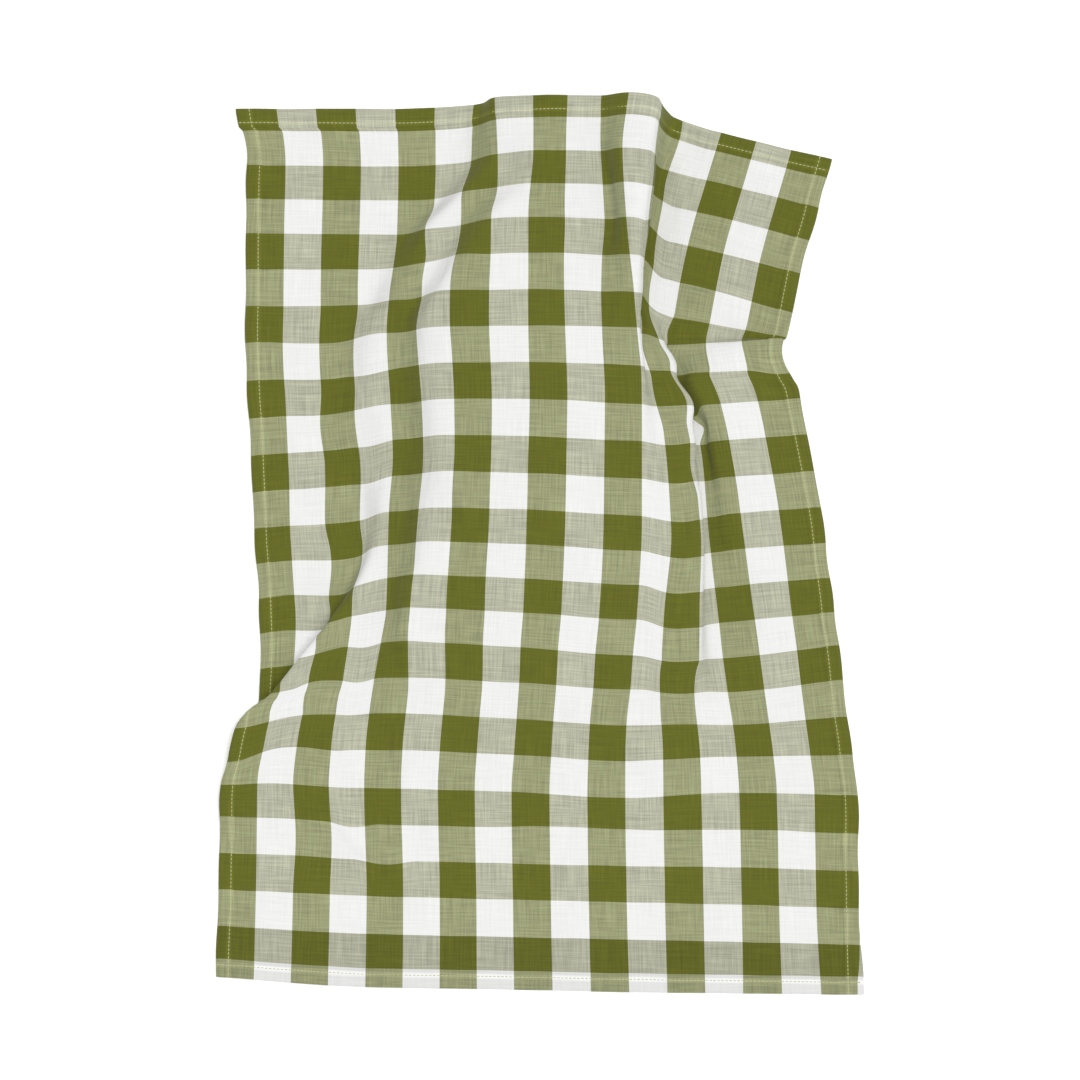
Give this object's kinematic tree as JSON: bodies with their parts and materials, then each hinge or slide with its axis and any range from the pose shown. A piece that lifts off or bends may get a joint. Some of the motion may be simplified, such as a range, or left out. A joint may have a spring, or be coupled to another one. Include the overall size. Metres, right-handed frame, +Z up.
{
  "type": "tea towel",
  "caption": "Gingham cotton tea towel laid loosely on a table, with a raised crown, a steep side fall, soft folds and stitched hems.",
  "frame": {"origin": "centre of the bounding box, on the table that the towel lies on", "axes": "+X across the towel to the right, +Y along the towel towards its top hem, +Z up from the table"},
  "size_m": [0.501, 0.705, 0.0508],
  "materials": {
    "gingham_cotton": "plain weave cotton, matt, in green and white checks"
  },
  "bodies": {
    "root": {"towel": "gingham_cotton"}
  },
  "joints": []
}
